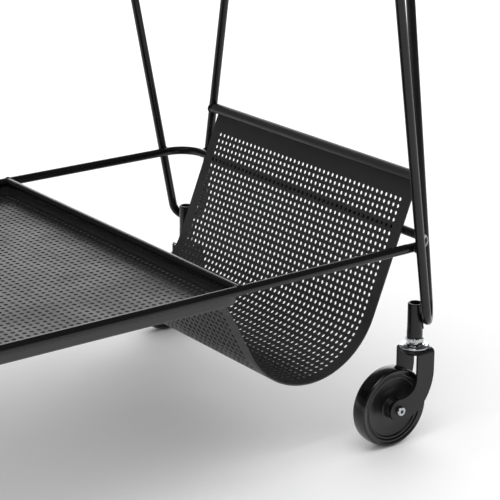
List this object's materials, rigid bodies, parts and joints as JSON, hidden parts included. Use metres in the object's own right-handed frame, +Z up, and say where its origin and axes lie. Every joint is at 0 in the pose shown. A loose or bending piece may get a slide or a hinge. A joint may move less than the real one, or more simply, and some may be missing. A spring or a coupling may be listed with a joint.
{
  "type": "bar cart",
  "caption": "Bar cart of black tube with a shallow perforated tray on each level, a folded sheet rack at one end, hairpin legs and swivel castors.",
  "frame": {"origin": "on the floor, under the middle of the whole cart, castors included", "axes": "+X along the length towards the rack end, +Y to the back long side, +Z up"},
  "size_m": [0.7166, 0.4416, 0.6049],
  "materials": {
    "powder_coat": "satin black powder coat on steel tube",
    "sheet_coat": "satin black powder coat on perforated sheet steel",
    "chrome_plate": "bright chrome plate",
    "zinc_plate": "bright zinc plate",
    "fork_paint": "satin black paint on pressed steel",
    "wheel_plastic": "black moulded polypropylene",
    "tyre_rubber": "black thermoplastic rubber with a smooth rounded tread"
  },
  "bodies": {
    "frame": {"lower_ring": "powder_coat", "upper_ring": "powder_coat", "cross_tube": "powder_coat", "rack_top_rail": "powder_coat", "rack_sheet": "sheet_coat", "lower_tray": "sheet_coat", "upper_tray": "sheet_coat", "leg_front_right": "powder_coat", "socket_front_right": "powder_coat", "stem_front_right": "zinc_plate", "lock_nut_front_right": "chrome_plate", "bearing_cup_front_right": "chrome_plate", "leg_back_right": "powder_coat", "socket_back_right": "powder_coat", "stem_back_right": "zinc_plate", "lock_nut_back_right": "chrome_plate", "bearing_cup_back_right": "chrome_plate", "leg_front_left": "powder_coat", "socket_front_left": "powder_coat", "stem_front_left": "zinc_plate", "lock_nut_front_left": "chrome_plate", "bearing_cup_front_left": "chrome_plate", "leg_back_left": "powder_coat", "socket_back_left": "powder_coat", "stem_back_left": "zinc_plate", "lock_nut_back_left": "chrome_plate", "bearing_cup_back_left": "chrome_plate"},
    "castor_fork_front_right": {"fork_front_right": "fork_paint", "axle_bolt_front_right": "chrome_plate", "axle_nut_front_right": "zinc_plate", "axle_sleeve_front_right": "zinc_plate"},
    "wheel_front_right": {"wheel_hub_front_right": "wheel_plastic", "tyre_front_right": "tyre_rubber"},
    "castor_fork_back_right": {"fork_back_right": "fork_paint", "axle_bolt_back_right": "chrome_plate", "axle_nut_back_right": "zinc_plate", "axle_sleeve_back_right": "zinc_plate"},
    "wheel_back_right": {"wheel_hub_back_right": "wheel_plastic", "tyre_back_right": "tyre_rubber"},
    "castor_fork_front_left": {"fork_front_left": "fork_paint", "axle_bolt_front_left": "chrome_plate", "axle_nut_front_left": "zinc_plate", "axle_sleeve_front_left": "zinc_plate"},
    "wheel_front_left": {"wheel_hub_front_left": "wheel_plastic", "tyre_front_left": "tyre_rubber"},
    "castor_fork_back_left": {"fork_back_left": "fork_paint", "axle_bolt_back_left": "chrome_plate", "axle_nut_back_left": "zinc_plate", "axle_sleeve_back_left": "zinc_plate"},
    "wheel_back_left": {"wheel_hub_back_left": "wheel_plastic", "tyre_back_left": "tyre_rubber"}
  },
  "joints": [
    {"name": "swivel_front_right", "type": "hinge", "parent": "frame", "child": "castor_fork_front_right", "pos_m": [0.32535, -0.18198, 0.09], "axis": [0, 0, 1], "continuous": true},
    {"name": "roll_front_right", "type": "hinge", "parent": "castor_fork_front_right", "child": "wheel_front_right", "pos_m": [0.29735, -0.18198, 0.0375], "axis": [0, 1, 0], "continuous": true},
    {"name": "swivel_back_right", "type": "hinge", "parent": "frame", "child": "castor_fork_back_right", "pos_m": [0.32535, 0.18198, 0.09], "axis": [0, 0, 1], "continuous": true},
    {"name": "roll_back_right", "type": "hinge", "parent": "castor_fork_back_right", "child": "wheel_back_right", "pos_m": [0.29735, 0.18198, 0.0375], "axis": [0, 1, 0], "continuous": true},
    {"name": "swivel_front_left", "type": "hinge", "parent": "frame", "child": "castor_fork_front_left", "pos_m": [-0.29281, -0.18198, 0.09], "axis": [0, 0, 1], "continuous": true},
    {"name": "roll_front_left", "type": "hinge", "parent": "castor_fork_front_left", "child": "wheel_front_left", "pos_m": [-0.32081, -0.18198, 0.0375], "axis": [0, 1, 0], "continuous": true},
    {"name": "swivel_back_left", "type": "hinge", "parent": "frame", "child": "castor_fork_back_left", "pos_m": [-0.29281, 0.18198, 0.09], "axis": [0, 0, 1], "continuous": true},
    {"name": "roll_back_left", "type": "hinge", "parent": "castor_fork_back_left", "child": "wheel_back_left", "pos_m": [-0.32081, 0.18198, 0.0375], "axis": [0, 1, 0], "continuous": true}
  ]
}
